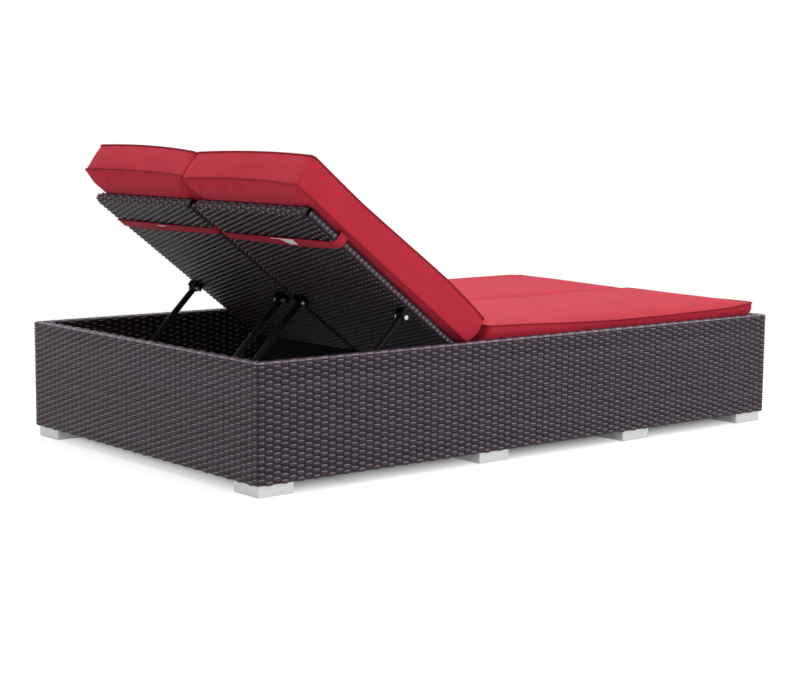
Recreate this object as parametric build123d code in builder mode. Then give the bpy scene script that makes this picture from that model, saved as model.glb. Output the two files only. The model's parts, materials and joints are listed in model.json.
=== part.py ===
from build123d import *
import os
from math import cos, radians, sin

os.makedirs("parts", exist_ok=True)

# A double chaise lounger: a woven box base with a seat deck at its foot end, and two backrests
# side by side that lift out of the open bay at its head end. X runs across, +Y points to the
# head end, +Z is up, and the origin is on the ground under the middle of the base.
# Every length is in millimetres. The backrests stand raised, as in the rest position.

# Base box
base_width = 1165.0
base_length = 2000.0
deck_height = 288.0
rim_rise = 58.0
weave = 4.0
tube = 28.0
tube_wall = 1.8
rim_round = 6.0
corner_round = 3.5

# Feet, in rows from the foot end to the head end
foot_height = 32.0
foot_size = 112.0
foot_inset = 9.0
foot_wall = 3.0
foot_round = 5.0
seat_row_share = -0.405
hinge_row_inset = 20.0
foot_screw_radius = 3.0
foot_screw_head = 6.0
foot_screw_head_height = 4.0
foot_screw_recess = 1.0
foot_screw_reach = 12.0
foot_screw_boss = 8.5
foot_screw_inset = 18.0

# Seat deck and the beams under it
bay_length = 764.0
deck_joint = 1.0
seat_beam_shares = (-0.76, -0.405, -0.05)

# Backrest panels, wrapped round a frame of round tube
recline = 37.3
back_tube = 20.0
back_tube_wall = 2.0
sleeve_clearance = 0.1
hinge_gap = 9.5
side_gap = 9.5
centre_gap = 18.0
head_gap = 12.0
upper_bar_along = 500.0

# Hinge pins, bushes and brackets
pin_radius = 5.0
pin_head_radius = 7.5
pin_head = 1.5
pin_grip = 22.0
bush_flange = 2.0
bracket_plate = 5.0
bracket_radius = 12.0
bracket_flange = 3.0
bracket_flange_width = 30.0
bracket_inset = 2.0
running_fit = 0.08
close_fit = 0.05

# Prop: two arms and a foot bar that rests on notched racks
pivot_along = 290.0
pivot_drop = 33.0
prop_slope = 45.0
prop_tube = 19.0
prop_tube_wall = 1.6
prop_end = 12.0
inner_arm_inset = 39.0
outer_arm_inset = 25.0
clevis_plate = 4.0
clevis_base = 3.0
clevis_length = 36.0
clevis_nose = 10.0
washer = 1.2
washer_gap = 0.3
washer_radius = 9.0
bolt_radius = 4.0
bolt_head = 5.0
bolt_head_radius = 7.0
nut = 6.5
bolt_end = 2.5

# Notched racks and the beams that carry them
rack_plate = 6.0
rack_inset = 27.0
rack_height = 38.3
rack_before = 101.5
rack_after = 141.5
rack_gap = 2.4
notch_pitch = 25.0
notch_radius = 10.0
notch_lift = 3.0
notches_each_way = 3
rack_tab = 21.0
rack_tab_height = 4.0
rack_screw_radius = 2.5
rack_screw_head = 4.5
rack_screw_head_height = 3.0
rack_screw_reach = 10.0

# Cushions
cushion_gap = 1.5
cushion_joint = 2.0
seat_overhang = 2.0
seat_end_gap = 1.0
seat_seam_low = 8.0
seat_seam_high = 95.0
seat_crown = 16.0
back_start = 64.0
back_length = 746.0
back_seam_low = 20.0
back_seam_high = 102.0
back_crown = 18.0
cushion_lift = 0.3
cushion_under = 60.0
cushion_roll = 75.0
cushion_roll_share = 0.68
roll_knee_share = 0.35
roll_rise_share = 0.6
cushion_corner = 16.0
cushion_pull = 4.0
seat_under = 12.0

# Straps that hold the back cushions to their panels
strap_width = 38.0
strap_thick = 2.0
strap_along = 605.0
strap_side_gap = 1.0
strap_drop = 15.0
strap_sag = 5.0
label_length = 100.0
label_width = 24.0
label_thick = 0.8
label_share = 0.55

# Places worked out from the sizes above
half_width = base_width / 2
half_length = base_length / 2
rim_height = deck_height + rim_rise
rail_x = half_width - weave
rail_y = half_length - weave
rail_in_x = rail_x - tube
rail_in_y = rail_y - tube
well_x = rail_in_x - weave
well_y = rail_in_y - weave
rail_top = rim_height - weave
floor_rail_top = foot_height + tube
beam_top = deck_height - weave
beam_low = beam_top - tube
deck_end = well_y - bay_length
foot_x = half_width - foot_inset - foot_size / 2
end_row = half_length - foot_inset - foot_size / 2
middle_rows = [seat_row_share * half_length, deck_end - hinge_row_inset]
foot_rows = [-end_row, *middle_rows, end_row]
back_radius = back_tube / 2 + weave
back_tube_radius = back_tube / 2
hinge_y = deck_end + hinge_gap + back_radius
hinge_z = deck_height - back_radius
back_in_x = centre_gap / 2
back_out_x = well_x - side_gap
back_reach = well_y - head_gap - hinge_y
back_width = back_out_x - back_in_x
back_mid_x = (back_in_x + back_out_x) / 2
head_tube_along = back_reach - back_radius
prop_radius = prop_tube / 2
inner_arm_x = back_in_x + inner_arm_inset
outer_arm_x = back_out_x - outer_arm_inset

# Directions of the raised backrest and of the prop
slope = Vector(0, cos(radians(recline)), sin(radians(recline)))
normal = Vector(0, -sin(radians(recline)), cos(radians(recline)))
prop_dir = Vector(0, cos(radians(prop_slope)), -sin(radians(prop_slope)))
hinge = Vector(0, hinge_y, hinge_z)


def on_back(x, along, up):
    """A point of the raised backrest, from the hinge axis along its slope and up from it."""
    return hinge + Vector(x, 0, 0) + slope * along + normal * up


def back_plane(x, along, up):
    """A plane that lies flat on the backrest, with its y axis up the slope."""
    return Plane(on_back(x, along, up), x_dir=(1, 0, 0), z_dir=normal)


def back_side(x):
    """A plane across the hinge axis. Its axes are along the slope and out from it."""
    return Plane(on_back(x, 0, 0), x_dir=slope, z_dir=(1, 0, 0))


def back_section(along):
    """A plane across the slope. Its axes are X and out from the backrest."""
    return Plane(on_back(0, along, 0), x_dir=(1, 0, 0), z_dir=-slope)


def write(built, name):
    built.part.label = name
    export_step(built.part, f"parts/{name}.step")


def write_pair(built, name):
    """Writes the left piece and its mirror image on the right."""
    write(built, name + "_left")
    with BuildPart() as twin:
        mirror(built.part, about=Plane.YZ)
    write(twin, name + "_right")


def block(x, y, z, mode=Mode.ADD):
    """Fills the given spans of x, y and z."""
    sizes = [high - low for low, high in (x, y, z)]
    with Locations(tuple((low + high) / 2 for low, high in (x, y, z))):
        Box(*sizes, mode=mode)


def bar(x, y, z, along):
    """A square tube that fills the spans and is open along one axis."""
    block(x, y, z)
    inside = [
        (low, high) if axis == along else (low + tube_wall, high - tube_wall)
        for axis, (low, high) in zip("XYZ", (x, y, z))
    ]
    block(*inside, mode=Mode.SUBTRACT)


def both_ways(low, high):
    """The span and its mirror image about zero."""
    return [(low, high), (-high, -low)]


def upright(x, y, z, radius, height, mode=Mode.ADD):
    """A round pin that stands on z."""
    with Locations((x, y, z + height / 2)):
        Cylinder(radius, height, mode=mode)


def across(x_low, x_high, y, z, radius, mode=Mode.ADD):
    """A round pin along X."""
    with BuildSketch(Plane((x_low, y, z), x_dir=(0, 1, 0), z_dir=(1, 0, 0))) as disc:
        Circle(radius)
    extrude(disc.sketch, amount=x_high - x_low, mode=mode)


def foot_screw_places(row):
    """Where the two screws of a left foot stand: one in the side rail, one in a cross rail."""
    end_rail = rail_y - tube / 2
    cross_y = {end_row: end_rail, -end_row: -end_rail}.get(row, row)
    return [(rail_x - tube / 2, row), (foot_x - foot_screw_inset, cross_y)]


left_screws = [place for row in foot_rows for place in foot_screw_places(row)]
foot_screws = [(side * x, y) for side in (1, -1) for x, y in left_screws]
rack_xs = [inner_arm_x + rack_inset, outer_arm_x - rack_inset]
tab_offset = (rack_plate + rack_tab) / 2

# The prop's pivot and its foot bar, which stands just over the racks
pivot = on_back(0, pivot_along, -pivot_drop)
rack_top = floor_rail_top + rack_height
foot_bar_z = rack_top + rack_gap + prop_radius
prop_length = (pivot.Z - foot_bar_z) / sin(radians(prop_slope))
foot_bar = pivot + prop_dir * prop_length
rack_start = foot_bar.Y - rack_before
rack_end = foot_bar.Y + rack_after
rack_beams = [rack_start + tube / 2, rack_end - tube / 2]


def screw_holes(places, low, radius):
    """Cuts clearance holes through one wall of the tubes."""
    for x, y in places:
        upright(x, y, low - tube_wall, radius + close_fit, tube_wall * 3, Mode.SUBTRACT)


def rails():
    """The outer box of square tube: long side rails, shorter end rails, and posts."""
    with BuildPart() as top_side:
        for x in both_ways(rail_in_x, rail_x):
            bar(x, (-rail_y, rail_y), (rail_top - tube, rail_top), "Y")
    write(top_side, "side_top_rails")
    with BuildPart() as top_end:
        for y in both_ways(rail_in_y, rail_y):
            bar((-rail_in_x, rail_in_x), y, (rail_top - tube, rail_top), "X")
    write(top_end, "end_top_rails")
    with BuildPart() as low_side:
        for x in both_ways(rail_in_x, rail_x):
            bar(x, (-rail_y, rail_y), (foot_height, floor_rail_top), "Y")
        screw_holes(foot_screws, foot_height, foot_screw_radius)
    write(low_side, "side_bottom_rails")
    with BuildPart() as low_end:
        for y in both_ways(rail_in_y, rail_y):
            bar((-rail_in_x, rail_in_x), y, (foot_height, floor_rail_top), "X")
        screw_holes(foot_screws, foot_height, foot_screw_radius)
    write(low_end, "end_bottom_rails")
    with BuildPart() as seat:
        for x in both_ways(rail_in_x, rail_x):
            bar(x, (-rail_in_y, rail_in_y), (beam_low, beam_top), "Y")
        bar((-rail_in_x, rail_in_x), (-rail_y, -rail_in_y), (beam_low, beam_top), "X")
    write(seat, "seat_rails")


def posts():
    with BuildPart() as corners:
        for x in both_ways(rail_in_x, rail_x):
            for y in both_ways(rail_in_y, rail_y):
                bar(x, y, (floor_rail_top, rail_top - tube), "Z")
    write(corners, "corner_posts")
    lower = (floor_rail_top, beam_low)
    upper = (beam_top, rail_top - tube)
    with BuildPart() as walls:
        for row in middle_rows:
            for x in both_ways(rail_in_x, rail_x):
                for z in (lower, upper):
                    bar(x, (row - tube / 2, row + tube / 2), z, "Z")
        middle = (-tube / 2, tube / 2)
        bar(middle, (rail_in_y, rail_y), (floor_rail_top, rail_top - tube), "Z")
        for z in (lower, upper):
            bar(middle, (-rail_y, -rail_in_y), z, "Z")
    write(walls, "wall_posts")


def beams():
    """Cross tubes: under the seat deck, behind the hinge, and low in the base."""
    span = (-rail_in_x, rail_in_x)
    with BuildPart() as seat:
        for share in seat_beam_shares:
            y = share * half_length
            bar(span, (y - tube / 2, y + tube / 2), (beam_low, beam_top), "X")
    write(seat, "seat_beams")
    with BuildPart() as hinge_side:
        bar(span, (deck_end - tube, deck_end), (beam_low, beam_top), "X")
    write(hinge_side, "hinge_beam")
    with BuildPart() as low:
        for row in middle_rows:
            bar(span, (row - tube / 2, row + tube / 2), (foot_height, floor_rail_top), "X")
        screw_holes(foot_screws, foot_height, foot_screw_radius)
    write(low, "base_beams")
    with BuildPart() as racks:
        for y in rack_beams:
            bar(span, (y - tube / 2, y + tube / 2), (foot_height, floor_rail_top), "X")
        places = [(x, y) for x, y, side in rack_tabs()]
        screw_holes(places, floor_rail_top - tube_wall, rack_screw_radius)
    write(racks, "rack_beams")


def deck():
    with BuildPart() as panel:
        block((deck_joint / 2, rail_in_x), (-rail_in_y, deck_end), (beam_top, deck_height))
    write_pair(panel, "seat_deck")


def feet():
    """Square plinths with two screw bosses each, open at the top where the rails close them."""
    with BuildPart() as room:
        for row in foot_rows:
            with Locations((foot_x, row, foot_height / 2)):
                Box(foot_size - foot_wall, foot_size - foot_wall, foot_height)
    with BuildPart() as bosses:
        for x, y in left_screws:
            upright(x, y, 0, foot_screw_boss, foot_height)
        add(room.part, mode=Mode.INTERSECT)
    with BuildPart() as built:
        for row in foot_rows:
            with BuildSketch():
                with Locations((foot_x, row)):
                    RectangleRounded(foot_size, foot_size, foot_round)
            extrude(amount=foot_height)
            inner = foot_size - 2 * foot_wall
            hollow = foot_height - foot_wall
            with Locations((foot_x, row, foot_wall + hollow / 2)):
                Box(inner, inner, hollow, mode=Mode.SUBTRACT)
        add(bosses.part)
        recess = foot_screw_recess + foot_screw_head_height
        for x, y in left_screws:
            upright(x, y, 0, foot_screw_radius + close_fit, foot_height, Mode.SUBTRACT)
            upright(x, y, 0, foot_screw_head + close_fit, recess, Mode.SUBTRACT)
    write_pair(built, "feet")
    with BuildPart() as screws:
        for x, y in foot_screws:
            upright(x, y, foot_screw_recess, foot_screw_head, foot_screw_head_height)
            shank = foot_height + foot_screw_reach - foot_screw_recess
            upright(x, y, foot_screw_recess, foot_screw_radius, shank)
    write(screws, "foot_screws")


def skin_section(plane, outer, bottom, inner_bottom, inner):
    """The section of a woven wall: up the outside, over the top rail and down the inside."""
    with BuildSketch(plane) as section:
        with BuildLine():
            Polyline(
                (inner, inner_bottom),
                (inner, rim_height),
                (outer, rim_height),
                (outer, bottom),
                (outer - weave, bottom),
                (outer - weave, rail_top),
                (inner + weave, rail_top),
                (inner + weave, inner_bottom),
                close=True,
            )
        make_face()
        fillet(section.vertices().group_by(Axis.Y)[-1], rim_round)
    return section.sketch


def woven_walls():
    """The woven skins of the four sides. Inside, they reach the deck, or down into the bay."""
    with BuildPart() as side:
        face = Plane((0, half_length, 0), x_dir=(1, 0, 0), z_dir=(0, -1, 0))
        extrude(skin_section(face, half_width, foot_height, deck_height, well_x), amount=base_length)
        for y in both_ways(well_y, half_length):
            block((well_x, rail_in_x), y, (foot_height, rail_top), Mode.SUBTRACT)
        block((well_x, rail_in_x), (deck_end, well_y), (floor_rail_top, deck_height))
        fillet(side.edges().filter_by(Axis.Z).group_by(Axis.X)[-1], corner_round)
    write_pair(side, "woven_side")
    for name, way, bottom in (("head", 1, floor_rail_top), ("foot", -1, deck_height)):
        face = Plane((-way * rail_x, 0, 0), x_dir=(0, way, 0), z_dir=(way, 0, 0))
        with BuildPart() as end:
            section = skin_section(face, half_length, foot_height, bottom, well_y)
            extrude(section, amount=2 * rail_x)
            span = (well_y, half_length) if way > 0 else (-half_length, -well_y)
            lip = (well_y, rail_y) if way > 0 else (-rail_y, -well_y)
            for x in both_ways(well_x, rail_x):
                block(x, span, (rail_top, rim_height), Mode.SUBTRACT)
            for x in both_ways(rail_in_x, rail_x):
                block(x, lip, (foot_height, rail_top), Mode.SUBTRACT)
        write(end, f"woven_{name}_end")


def bracket(low, high, flange_low, flange_high):
    """A plate that holds a hinge pin, welded to the hinge beam by its flange."""
    with BuildPart() as built:
        height = (hinge_z - bracket_radius, hinge_z + bracket_radius)
        block((low, high), (deck_end, hinge_y), height)
        across(low, high, hinge_y, hinge_z, bracket_radius)
        flange = (deck_end, deck_end + bracket_flange)
        block((flange_low, flange_high), flange, (beam_low, hinge_z))
        across(low, high, hinge_y, hinge_z, pin_radius + close_fit, Mode.SUBTRACT)
    return built


bracket_high = well_x - bracket_inset
bracket_low = bracket_high - bracket_plate


def hinge_parts():
    plate, flange = bracket_plate / 2, bracket_flange_width / 2
    write(bracket(-plate, plate, -flange, flange), "centre_hinge_bracket")
    outer = bracket(bracket_low, bracket_high, bracket_high - bracket_flange_width, bracket_high)
    with BuildPart() as pair:
        add(outer.part)
        mirror(outer.part, about=Plane.YZ)
    write(pair, "outer_hinge_brackets")
    with BuildPart() as outer_pin:
        across(back_out_x - bush_flange - pin_grip, bracket_high, hinge_y, hinge_z, pin_radius)
        across(bracket_high, bracket_high + pin_head, hinge_y, hinge_z, pin_head_radius)
    with BuildPart() as pins:
        reach = back_in_x + bush_flange + pin_grip
        across(-reach, reach, hinge_y, hinge_z, pin_radius)
        add(outer_pin.part)
        mirror(outer_pin.part, about=Plane.YZ)
    write(pins, "hinge_pins")


def tab_side(x):
    """Rack tabs turn towards the middle of their prop."""
    return 1 if x < (inner_arm_x + outer_arm_x) / 2 else -1


def rack_tabs():
    """The centre of each screw tab of the racks, left and right, and which way it turns."""
    tabs = [(x + tab_side(x) * tab_offset, y, tab_side(x)) for x in rack_xs for y in rack_beams]
    return tabs + [(-x, y, -side) for x, y, side in tabs]


def racks():
    """Upright plates with round notches. One notch lies right under the foot bar."""
    with BuildPart() as built:
        for x in rack_xs:
            plane = Plane((x - rack_plate / 2, 0, 0), x_dir=(0, 1, 0), z_dir=(1, 0, 0))
            with BuildSketch(plane):
                with Locations(((rack_start + rack_end) / 2, (floor_rail_top + rack_top) / 2)):
                    Rectangle(rack_end - rack_start, rack_height)
                for step in range(-notches_each_way, notches_each_way + 1):
                    with Locations((foot_bar.Y + step * notch_pitch, rack_top + notch_lift)):
                        Circle(notch_radius, mode=Mode.SUBTRACT)
            extrude(amount=rack_plate)
            for y in rack_beams:
                low, high = sorted((x, x + tab_side(x) * (rack_plate / 2 + rack_tab)))
                tab_top = floor_rail_top + rack_tab_height
                block((low, high), (y - tube / 2, y + tube / 2), (floor_rail_top, tab_top))
        for x, y, side in rack_tabs():
            upright(
                x, y, floor_rail_top, rack_screw_radius + close_fit, rack_tab_height, Mode.SUBTRACT
            )
    with BuildPart() as pair:
        add(built.part)
        mirror(built.part, about=Plane.YZ)
    write(pair, "prop_racks")
    with BuildPart() as screws:
        for x, y, side in rack_tabs():
            top = floor_rail_top + rack_tab_height
            upright(x, y, top, rack_screw_head, rack_screw_head_height)
            shank = rack_tab_height + rack_screw_reach
            upright(x, y, top - shank, rack_screw_radius, shank)
    write(screws, "rack_screws")


def stadium_plate(radius):
    """The outline of the backrest in section and in length, rounded all round its edge."""
    with BuildPart() as built:
        with BuildSketch(back_section(back_reach)):
            with Locations((back_mid_x, 0)):
                span = back_width - 2 * back_radius
                Rectangle(span, 2 * radius)
                with Locations((-span / 2, 0), (span / 2, 0)):
                    Circle(radius)
        extrude(amount=back_reach + 2 * back_radius)
        with BuildSketch(back_side(back_in_x)):
            with Locations((head_tube_along / 2, 0)):
                Rectangle(head_tube_along, 2 * radius)
            with Locations((0, 0), (head_tube_along, 0)):
                Circle(radius)
        extrude(amount=back_width, mode=Mode.INTERSECT)
    return built


def along_back(along, radius, x_low, x_high, up=0, mode=Mode.ADD):
    """A round bar along X, at a place on the backrest."""
    with BuildSketch(back_side(x_low)) as disc:
        with Locations((along, up)):
            Circle(radius)
    extrude(disc.sketch, amount=x_high - x_low, mode=mode)


def down_back(x, radius, low, high, mode=Mode.ADD):
    """A round bar along the slope of the backrest."""
    with BuildSketch(back_section(high)) as disc:
        with Locations((x, 0)):
            Circle(radius)
    extrude(disc.sketch, amount=high - low, mode=mode)


def back_frame():
    """The tubes inside a backrest."""
    tube_low = back_in_x + bush_flange
    tube_high = back_out_x - bush_flange
    bore = back_tube_radius - back_tube_wall
    with BuildPart() as hinge_tube:
        along_back(0, back_tube_radius, tube_low, tube_high)
        along_back(0, bore, tube_low, tube_high, mode=Mode.SUBTRACT)
    write_pair(hinge_tube, "backrest_hinge_tube")
    side_xs = (back_in_x + back_radius, back_out_x - back_radius)
    with BuildPart() as head:
        along_back(head_tube_along, back_tube_radius, *side_xs)
        with Locations([on_back(x, head_tube_along, 0) for x in side_xs]):
            Sphere(back_tube_radius)
        along_back(head_tube_along, bore, *side_xs, mode=Mode.SUBTRACT)
    with BuildPart() as sides:
        for x in side_xs:
            down_back(x, back_tube_radius, 0, head_tube_along)
            down_back(x, bore, 0, head_tube_along, Mode.SUBTRACT)
        along_back(0, back_tube_radius, back_in_x, back_out_x, mode=Mode.SUBTRACT)
        along_back(head_tube_along, back_tube_radius, back_in_x, back_out_x, mode=Mode.SUBTRACT)
    with BuildPart() as bars:
        for along in (pivot_along, upper_bar_along):
            along_back(along, back_tube_radius, side_xs[0], side_xs[1])
            along_back(along, bore, side_xs[0], side_xs[1], mode=Mode.SUBTRACT)
        for x in side_xs:
            down_back(x, back_tube_radius, 0, head_tube_along, Mode.SUBTRACT)
    with BuildPart() as tubes:
        add(head.part)
        add(sides.part)
        add(bars.part)
    write_pair(tubes, "backrest_frame")


def bushes():
    with BuildPart() as built:
        ends = (
            (back_in_x, back_in_x + bush_flange, back_in_x + bush_flange + pin_grip),
            (back_out_x, back_out_x - bush_flange, back_out_x - bush_flange - pin_grip),
        )
        sleeve = back_tube_radius - back_tube_wall - close_fit
        for edge, step, end in ends:
            along_back(0, back_tube_radius, *sorted((edge, step)))
            along_back(0, sleeve, *sorted((edge, end)))
            along_back(0, pin_radius + running_fit, *sorted((edge, end)), mode=Mode.SUBTRACT)
    write_pair(built, "hinge_bushes")


def back_skins():
    """The woven cover of a backrest: a tray behind the frame and a sheet over its front."""
    outer = stadium_plate(back_radius)
    cavity = stadium_plate(back_tube_radius + sleeve_clearance)
    slab = 2 * (back_reach + back_width)
    with BuildPart() as tray:
        add(outer.part)
        with BuildSketch(back_plane(0, 0, back_tube_radius)):
            Rectangle(slab, slab)
        extrude(amount=back_radius, mode=Mode.SUBTRACT)
        add(cavity.part, mode=Mode.SUBTRACT)
        hole = back_tube_radius + sleeve_clearance
        along_back(0, hole, back_in_x, back_out_x, mode=Mode.SUBTRACT)
    write_pair(tray, "woven_back_tray")
    with BuildPart() as sheet:
        add(outer.part)
        with BuildSketch(back_plane(0, 0, back_tube_radius + sleeve_clearance)):
            Rectangle(slab, slab)
        extrude(amount=-slab, mode=Mode.SUBTRACT)
    write_pair(sheet, "woven_back_front")


clevis_inner = prop_radius + washer_gap + washer
clevis_outer = clevis_inner + clevis_plate


def clevis_brackets():
    with BuildPart() as built:
        for x in (inner_arm_x, outer_arm_x):
            with BuildSketch(back_side(x - clevis_outer)):
                with Locations((pivot_along, -(back_radius + pivot_drop) / 2)):
                    Rectangle(clevis_length, pivot_drop - back_radius)
                with Locations((pivot_along, -pivot_drop)):
                    Circle(clevis_nose)
            extrude(amount=2 * clevis_outer)
            drop = back_radius + clevis_base
            with BuildSketch(back_side(x - clevis_inner)):
                with Locations((pivot_along, -drop - pivot_drop)):
                    Rectangle(clevis_length, 2 * pivot_drop)
            extrude(amount=2 * clevis_inner, mode=Mode.SUBTRACT)
            along_back(
                pivot_along, bolt_radius + close_fit, x - clevis_outer, x + clevis_outer,
                up=-pivot_drop, mode=Mode.SUBTRACT,
            )
    write_pair(built, "clevis_brackets")


def clevis_fasteners():
    """A bolt, a nut and two nylon washers for each prop arm."""
    sides = ((inner_arm_x, -1), (outer_arm_x, 1))
    spot = {"up": -pivot_drop}
    with BuildPart() as bolts:
        for x, way in sides:
            face = x + way * clevis_outer
            end = x - way * (clevis_outer + nut + bolt_end)
            with BuildSketch(back_side(min(face, face + way * bolt_head))):
                with Locations((pivot_along, -pivot_drop)):
                    RegularPolygon(bolt_head_radius, side_count=6)
            extrude(amount=bolt_head)
            along_back(pivot_along, bolt_radius, *sorted((face, end)), **spot)
    write_pair(bolts, "pivot_bolts")
    with BuildPart() as nuts:
        for x, way in sides:
            face = x - way * clevis_outer
            with BuildSketch(back_side(min(face, face - way * nut))):
                with Locations((pivot_along, -pivot_drop)):
                    RegularPolygon(bolt_head_radius, side_count=6)
                    Circle(bolt_radius + close_fit, mode=Mode.SUBTRACT)
            extrude(amount=nut)
    write_pair(nuts, "pivot_nuts")
    with BuildPart() as washers:
        for x, way in sides:
            for start in (x + prop_radius + washer_gap, x - clevis_inner):
                along_back(pivot_along, washer_radius, start, start + washer, **spot)
                along_back(
                    pivot_along, bolt_radius + close_fit, start, start + washer,
                    up=-pivot_drop, mode=Mode.SUBTRACT,
                )
    write_pair(washers, "pivot_washers")


def arm_plane(x, distance):
    origin = pivot + Vector(x, 0, 0) + prop_dir * distance
    return Plane(origin, x_dir=(1, 0, 0), z_dir=prop_dir)


def prop():
    """The U of round tube that holds a backrest up: two arms and a foot bar."""
    arms = {}
    for name, x in (("inner", inner_arm_x), ("outer", outer_arm_x)):
        with BuildPart() as arm:
            with BuildSketch(arm_plane(x, -prop_end)):
                Circle(prop_radius)
            extrude(amount=prop_end + prop_length)
            with Locations(foot_bar + Vector(x, 0, 0)):
                Sphere(prop_radius)
            with BuildSketch(arm_plane(x, -prop_end)):
                Circle(prop_radius - prop_tube_wall)
            extrude(amount=prop_length - prop_radius, mode=Mode.SUBTRACT)
            along_back(
                pivot_along, bolt_radius + running_fit, x - prop_tube, x + prop_tube,
                up=-pivot_drop, mode=Mode.SUBTRACT,
            )
        arms[name] = arm
        write_pair(arm, f"prop_arm_{name}")
    with BuildPart() as rod:
        across(inner_arm_x, outer_arm_x, foot_bar.Y, foot_bar.Z, prop_radius)
        for x in (inner_arm_x, outer_arm_x):
            with BuildSketch(arm_plane(x, -prop_end)):
                Circle(prop_radius)
            extrude(amount=prop_end + prop_length, mode=Mode.SUBTRACT)
            with Locations(foot_bar + Vector(x, 0, 0)):
                Sphere(prop_radius, mode=Mode.SUBTRACT)
    write_pair(rod, "prop_foot_bar")


def cushion_side(plane, span, under, seam_low, seam_high, crown):
    """A cushion seen from the side: flat where it lies, rolled up to its low seam, a straight
    boxing, and a crown that rises fast from the high seam and then slowly."""
    half = span / 2
    rise = cushion_roll_share * crown
    shoulder = half - cushion_roll
    knee = half - cushion_roll * roll_knee_share
    knee_height = seam_high + rise * roll_rise_share
    with BuildSketch(plane) as side:
        with BuildLine():
            Line((under - half, 0), (half - under, 0))
            TangentArc((half - under, 0), (half, seam_low), tangent=(1, 0))
            Line((half, seam_low), (half, seam_high))
            ThreePointArc((half, seam_high), (knee, knee_height), (shoulder, seam_high + rise))
            ThreePointArc(
                (shoulder, seam_high + rise), (0, seam_high + crown), (-shoulder, seam_high + rise)
            )
            ThreePointArc((-shoulder, seam_high + rise), (-knee, knee_height), (-half, seam_high))
            Line((-half, seam_high), (-half, seam_low))
            TangentArc((under - half, 0), (-half, seam_low), tangent=(-1, 0))
        make_face()
    return side.sketch


def cushion_plan(plane, width, length):
    """A cushion from above: its sides pull in between the corners."""
    x, y = width / 2, length / 2
    corners = ((-x, -y), (x, -y), (x, y), (-x, y))
    pull = cushion_pull
    middles = ((0, pull - y), (x - pull, 0), (0, y - pull), (pull - x, 0))
    with BuildSketch(plane) as plan:
        with BuildLine():
            for number, corner in enumerate(corners):
                ThreePointArc(corner, middles[number], corners[(number + 1) % len(corners)])
        make_face()
        fillet(plan.vertices(), cushion_corner)
    return plan.sketch


def cushion(base, width, length, under, seam_low, seam_high, crown):
    """A cushion that lies on the base plane: its plan, cut to its two side views."""
    with BuildPart() as flat:
        extrude(cushion_plan(Plane.XY, width, length), amount=seam_high + crown)
        across_width = cushion_side(Plane.XZ, width, under, seam_low, seam_high, crown)
        extrude(across_width, amount=length, both=True, mode=Mode.INTERSECT)
        down_length = cushion_side(Plane.YZ, length, under, seam_low, seam_high, crown)
        extrude(down_length, amount=width, both=True, mode=Mode.INTERSECT)
    with BuildPart() as placed:
        with Locations(base):
            add(flat.part)
    return placed


cushion_in_x = cushion_joint / 2
cushion_out_x = well_x - cushion_gap
cushion_mid_x = (cushion_in_x + cushion_out_x) / 2
cushion_width = cushion_out_x - cushion_in_x


def seat_cushions():
    start = -well_y + seat_end_gap
    end = deck_end + seat_overhang
    base = Plane((cushion_mid_x, (start + end) / 2, deck_height + cushion_lift))
    built = cushion(
        base, cushion_width, end - start, seat_under, seat_seam_low, seat_seam_high, seat_crown
    )
    write_pair(built, "seat_cushion")


def back_cushions():
    """Each back cushion lies on its panel and reaches past its head end, with a strap below."""
    base = back_plane(cushion_mid_x, back_start + back_length / 2, back_radius + cushion_lift)
    built = cushion(
        base, cushion_width, back_length, cushion_under, back_seam_low, back_seam_high, back_crown
    )
    write_pair(built, "back_cushion")
    out_x = back_out_x + strap_side_gap
    in_x = back_in_x - strap_side_gap
    mid = (in_x + out_x) / 2
    top = back_radius + back_seam_low
    with BuildPart() as strap:
        with BuildSketch(back_section(strap_along + strap_width / 2)):
            with BuildLine():
                Polyline((in_x, -strap_drop), (in_x, top), (in_x - strap_thick, top))
                Line((in_x - strap_thick, top), (in_x - strap_thick, -strap_drop))
                ThreePointArc(
                    (in_x - strap_thick, -strap_drop),
                    (mid, -strap_drop - strap_sag),
                    (out_x + strap_thick, -strap_drop),
                )
                Polyline(
                    (out_x + strap_thick, -strap_drop),
                    (out_x + strap_thick, top),
                    (out_x, top),
                    (out_x, -strap_drop),
                )
                ThreePointArc(
                    (out_x, -strap_drop), (mid, strap_thick - strap_drop - strap_sag),
                    (in_x, -strap_drop),
                )
            make_face()
        extrude(amount=strap_width)
        add(built.part, mode=Mode.SUBTRACT)
    write_pair(strap, "cushion_strap")
    write_pair(strap_label(in_x - strap_thick, out_x + strap_thick), "strap_label")


def strap_label(low, high):
    """A bare tag sewn to the underside of the strap, curved as the strap hangs."""
    half = (high - low) / 2
    mid = (low + high) / 2
    radius = (half * half + strap_sag * strap_sag) / (2 * strap_sag)
    centre = (mid, radius - strap_drop - strap_sag)
    place = low + label_share * (high - low)
    depth = strap_drop + 2 * strap_sag
    with BuildPart() as built:
        with BuildSketch(back_section(strap_along + label_width / 2)):
            with Locations((place, -depth / 2)):
                Rectangle(label_length, depth)
            with Locations(centre):
                Circle(radius + label_thick, mode=Mode.INTERSECT)
                Circle(radius, mode=Mode.SUBTRACT)
        extrude(amount=label_width)
    return built


rails()
posts()
beams()
deck()
feet()
woven_walls()
hinge_parts()
racks()
back_frame()
bushes()
back_skins()
clevis_brackets()
clevis_fasteners()
prop()
seat_cushions()
back_cushions()
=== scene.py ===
import json
import math
from collections import namedtuple

import bpy
import numpy as np
from mathutils import Matrix, Vector, noise


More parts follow.
